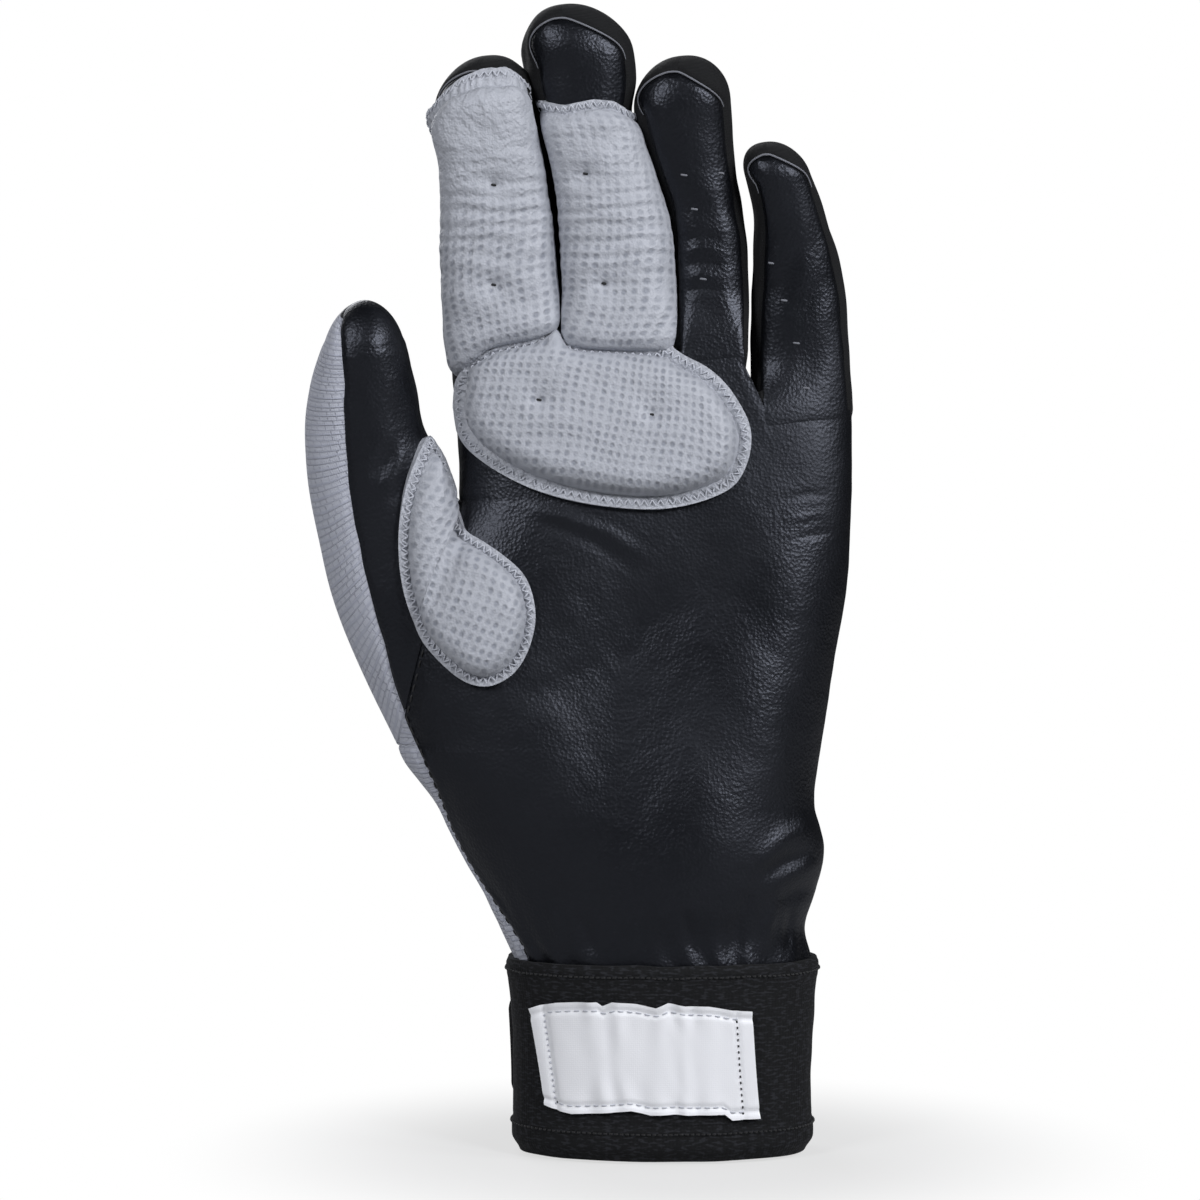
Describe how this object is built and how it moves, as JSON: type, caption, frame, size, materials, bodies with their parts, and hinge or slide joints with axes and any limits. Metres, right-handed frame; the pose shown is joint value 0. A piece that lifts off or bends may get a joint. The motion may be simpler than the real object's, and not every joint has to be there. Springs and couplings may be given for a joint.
{
  "type": "protective inner glove",
  "caption": "Left-hand padded inner glove with leather palm, foam pads over palm, thumb crotch and fingers, knitted back and elastic cuff with a pull tab.",
  "frame": {"origin": "within a millimetre of the middle of the cuff's mouth, on the plane the cuff's rim stands on, at the mount hand_opening", "axes": "+Z from the cuff to the fingertips, -Y out of the palm, -X towards the thumb"},
  "size_m": [0.1172, 0.0467, 0.2437],
  "materials": {
    "black_leather": "smooth black leather with a soft shine",
    "grey_leather": "light grey soft leather, embossed with rows of round dots",
    "grey_knit": "grey knitted mesh with a raised wavy pattern",
    "black_stretch": "matt black stretch fabric",
    "cuff_elastic": "black ribbed elastic",
    "woven_label": "white woven tape, blank",
    "hook_and_loop": "black hook and loop tape",
    "pad_foam": "pale closed-cell foam"
  },
  "bodies": {
    "hand": {"palm_panel": "black_leather", "back_panel": "grey_knit", "palm_pad_cover": "grey_leather", "palm_pad_foam": "pad_foam", "thumb_pad_palm_cover": "grey_leather", "thumb_pad_palm_foam": "pad_foam", "index_middle_web": "black_stretch", "middle_ring_web": "black_stretch", "ring_little_web": "black_stretch", "cuff_band": "cuff_elastic", "label": "woven_label", "loop_patch": "hook_and_loop", "tab_anchor": "cuff_elastic"},
    "index": {"index_front": "black_leather", "index_back": "black_stretch", "index_fourchette": "black_stretch", "index_pad_cover": "grey_leather", "index_pad_foam": "pad_foam"},
    "middle": {"middle_front": "black_leather", "middle_back": "black_stretch", "middle_fourchette_ulnar": "black_stretch", "middle_fourchette_radial": "black_stretch", "middle_pad_cover": "grey_leather", "middle_pad_foam": "pad_foam"},
    "ring": {"ring_front": "black_leather", "ring_back": "black_stretch", "ring_fourchette_ulnar": "black_stretch", "ring_fourchette_radial": "black_stretch"},
    "little": {"little_front": "black_leather", "little_back": "black_stretch", "little_fourchette": "black_stretch"},
    "thumb": {"thumb_front": "black_leather", "thumb_back": "grey_knit", "thumb_gusset": "black_stretch", "thumb_pad_thumb_cover": "grey_leather", "thumb_pad_thumb_foam": "pad_foam"},
    "strap": {"cuff_tab": "cuff_elastic", "hook_patch": "hook_and_loop"}
  },
  "joints": [
    {"name": "index_flex", "type": "hinge", "parent": "hand", "child": "index", "pos_m": [-0.0333, -0.0117, 0.1696], "axis": [0.9945, 0, 0.1045], "range_deg": [0, 70], "stiffness_Nm_per_rad": 0.08, "springref_deg": -17.19},
    {"name": "middle_flex", "type": "hinge", "parent": "hand", "child": "middle", "pos_m": [-0.0093, -0.0126, 0.1709], "axis": [0.9945, 0, 0.1045], "range_deg": [0, 70], "stiffness_Nm_per_rad": 0.08, "springref_deg": -17.19},
    {"name": "ring_flex", "type": "hinge", "parent": "hand", "child": "ring", "pos_m": [0.0106, -0.0126, 0.17], "axis": [0.9945, 0, 0.1045], "range_deg": [0, 70], "stiffness_Nm_per_rad": 0.08, "springref_deg": -17.19},
    {"name": "little_flex", "type": "hinge", "parent": "hand", "child": "little", "pos_m": [0.0306, -0.0122, 0.157], "axis": [0.9945, 0, 0.1045], "range_deg": [0, 70], "stiffness_Nm_per_rad": 0.08, "springref_deg": -17.19},
    {"name": "thumb_flex", "type": "hinge", "parent": "hand", "child": "thumb", "pos_m": [-0.0496, -0.0143, 0.11258], "axis": [0.2395, 0, 0.9709], "range_deg": [0, 35], "stiffness_Nm_per_rad": 0.08, "springref_deg": -17.19},
    {"name": "tab_open", "type": "hinge", "parent": "hand", "child": "strap", "pos_m": [0.0146, 0.0204, 0.021], "axis": [0, 0, -1], "range_deg": [0, 100]}
  ]
}
